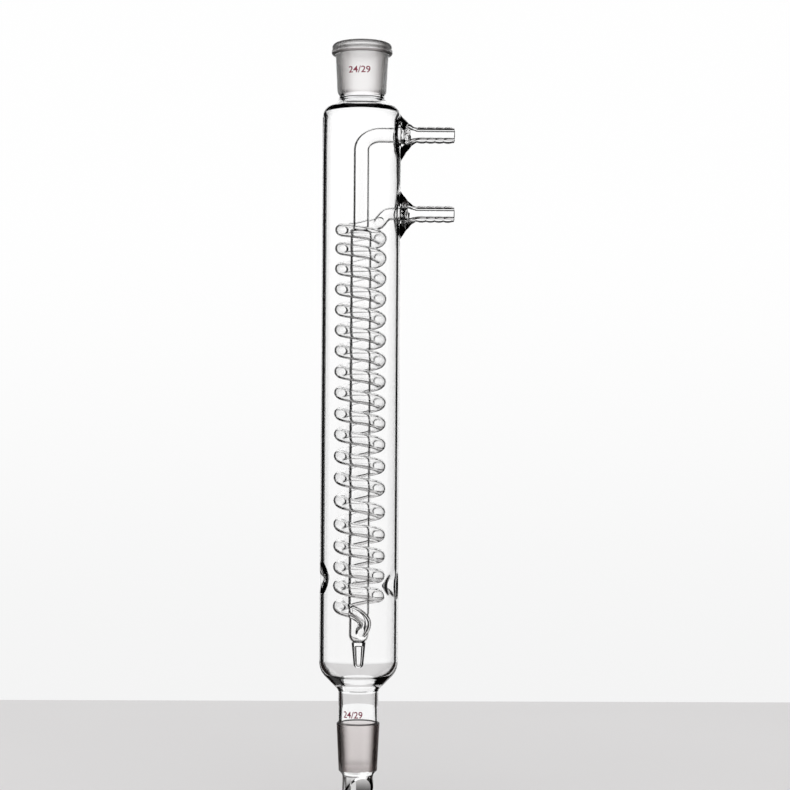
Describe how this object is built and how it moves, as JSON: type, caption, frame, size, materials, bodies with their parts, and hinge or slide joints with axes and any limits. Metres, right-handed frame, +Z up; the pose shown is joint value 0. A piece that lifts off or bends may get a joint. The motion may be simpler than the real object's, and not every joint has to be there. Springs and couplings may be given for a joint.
{
  "type": "coil reflux condenser",
  "caption": "Glass reflux condenser: a straight jacket round a water coil, with a ground socket on top, a ground cone and drip tip below, and side hose connectors.",
  "frame": {"origin": "on the main axis, at the large end of the lower ground cone", "axes": "+Z up the main axis towards the socket, +X along the two hose connectors"},
  "size_m": [0.0742, 0.044, 0.4301],
  "materials": {
    "glass": "clear polished borosilicate glass, ground matt on the cone and in the socket"
  },
  "bodies": {
    "root": {"condenser": "glass"}
  },
  "joints": []
}
